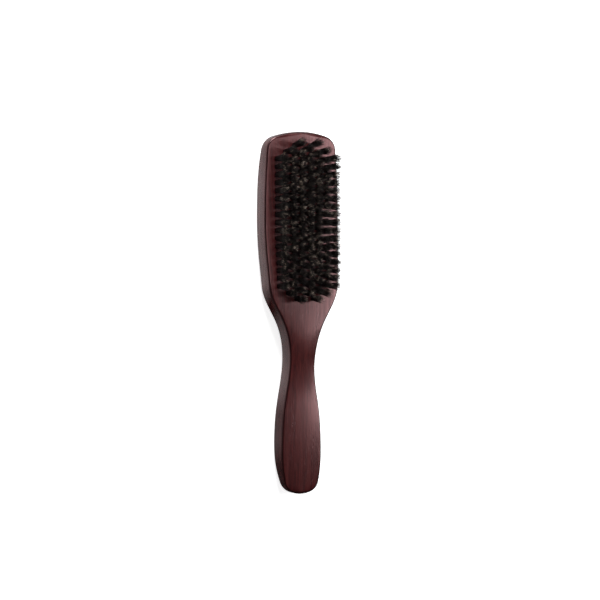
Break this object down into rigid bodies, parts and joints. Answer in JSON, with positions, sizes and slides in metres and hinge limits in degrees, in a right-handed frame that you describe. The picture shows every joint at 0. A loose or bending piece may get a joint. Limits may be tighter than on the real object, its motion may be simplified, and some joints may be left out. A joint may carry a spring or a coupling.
{
  "type": "fade brush",
  "caption": "Wooden club-handled fade brush with bristle tufts anchored in drilled holes across a long rounded head, and an arched neck.",
  "frame": {"origin": "on the back, midway along the brush and on its centre line", "axes": "+Z from the back to the bristle tips, +Y along the brush to the head end, +X across it"},
  "size_m": [0.0498, 0.22, 0.0275],
  "materials": {
    "stained_wood": "satin lacquer",
    "boar_bristle": "natural fibre",
    "anchor_steel": "flat wire"
  },
  "bodies": {
    "root": {"wooden_stock": "stained_wood", "tuft_rank_01": "boar_bristle", "tuft_rank_02": "boar_bristle", "tuft_rank_03": "boar_bristle", "tuft_rank_04": "boar_bristle", "tuft_rank_05": "boar_bristle", "tuft_rank_06": "boar_bristle", "tuft_rank_07": "boar_bristle", "tuft_rank_08": "boar_bristle", "tuft_rank_09": "boar_bristle", "tuft_rank_10": "boar_bristle", "tuft_rank_11": "boar_bristle", "tuft_rank_12": "boar_bristle", "tuft_rank_13": "boar_bristle", "tuft_rank_14": "boar_bristle", "tuft_rank_15": "boar_bristle", "tuft_rank_16": "boar_bristle", "tuft_rank_17": "boar_bristle", "tuft_rank_18": "boar_bristle", "anchor_rank_01": "anchor_steel", "anchor_rank_02": "anchor_steel", "anchor_rank_03": "anchor_steel", "anchor_rank_04": "anchor_steel", "anchor_rank_05": "anchor_steel", "anchor_rank_06": "anchor_steel", "anchor_rank_07": "anchor_steel", "anchor_rank_08": "anchor_steel", "anchor_rank_09": "anchor_steel", "anchor_rank_10": "anchor_steel", "anchor_rank_11": "anchor_steel", "anchor_rank_12": "anchor_steel", "anchor_rank_13": "anchor_steel", "anchor_rank_14": "anchor_steel", "anchor_rank_15": "anchor_steel", "anchor_rank_16": "anchor_steel", "anchor_rank_17": "anchor_steel", "anchor_rank_18": "anchor_steel"}
  },
  "joints": []
}
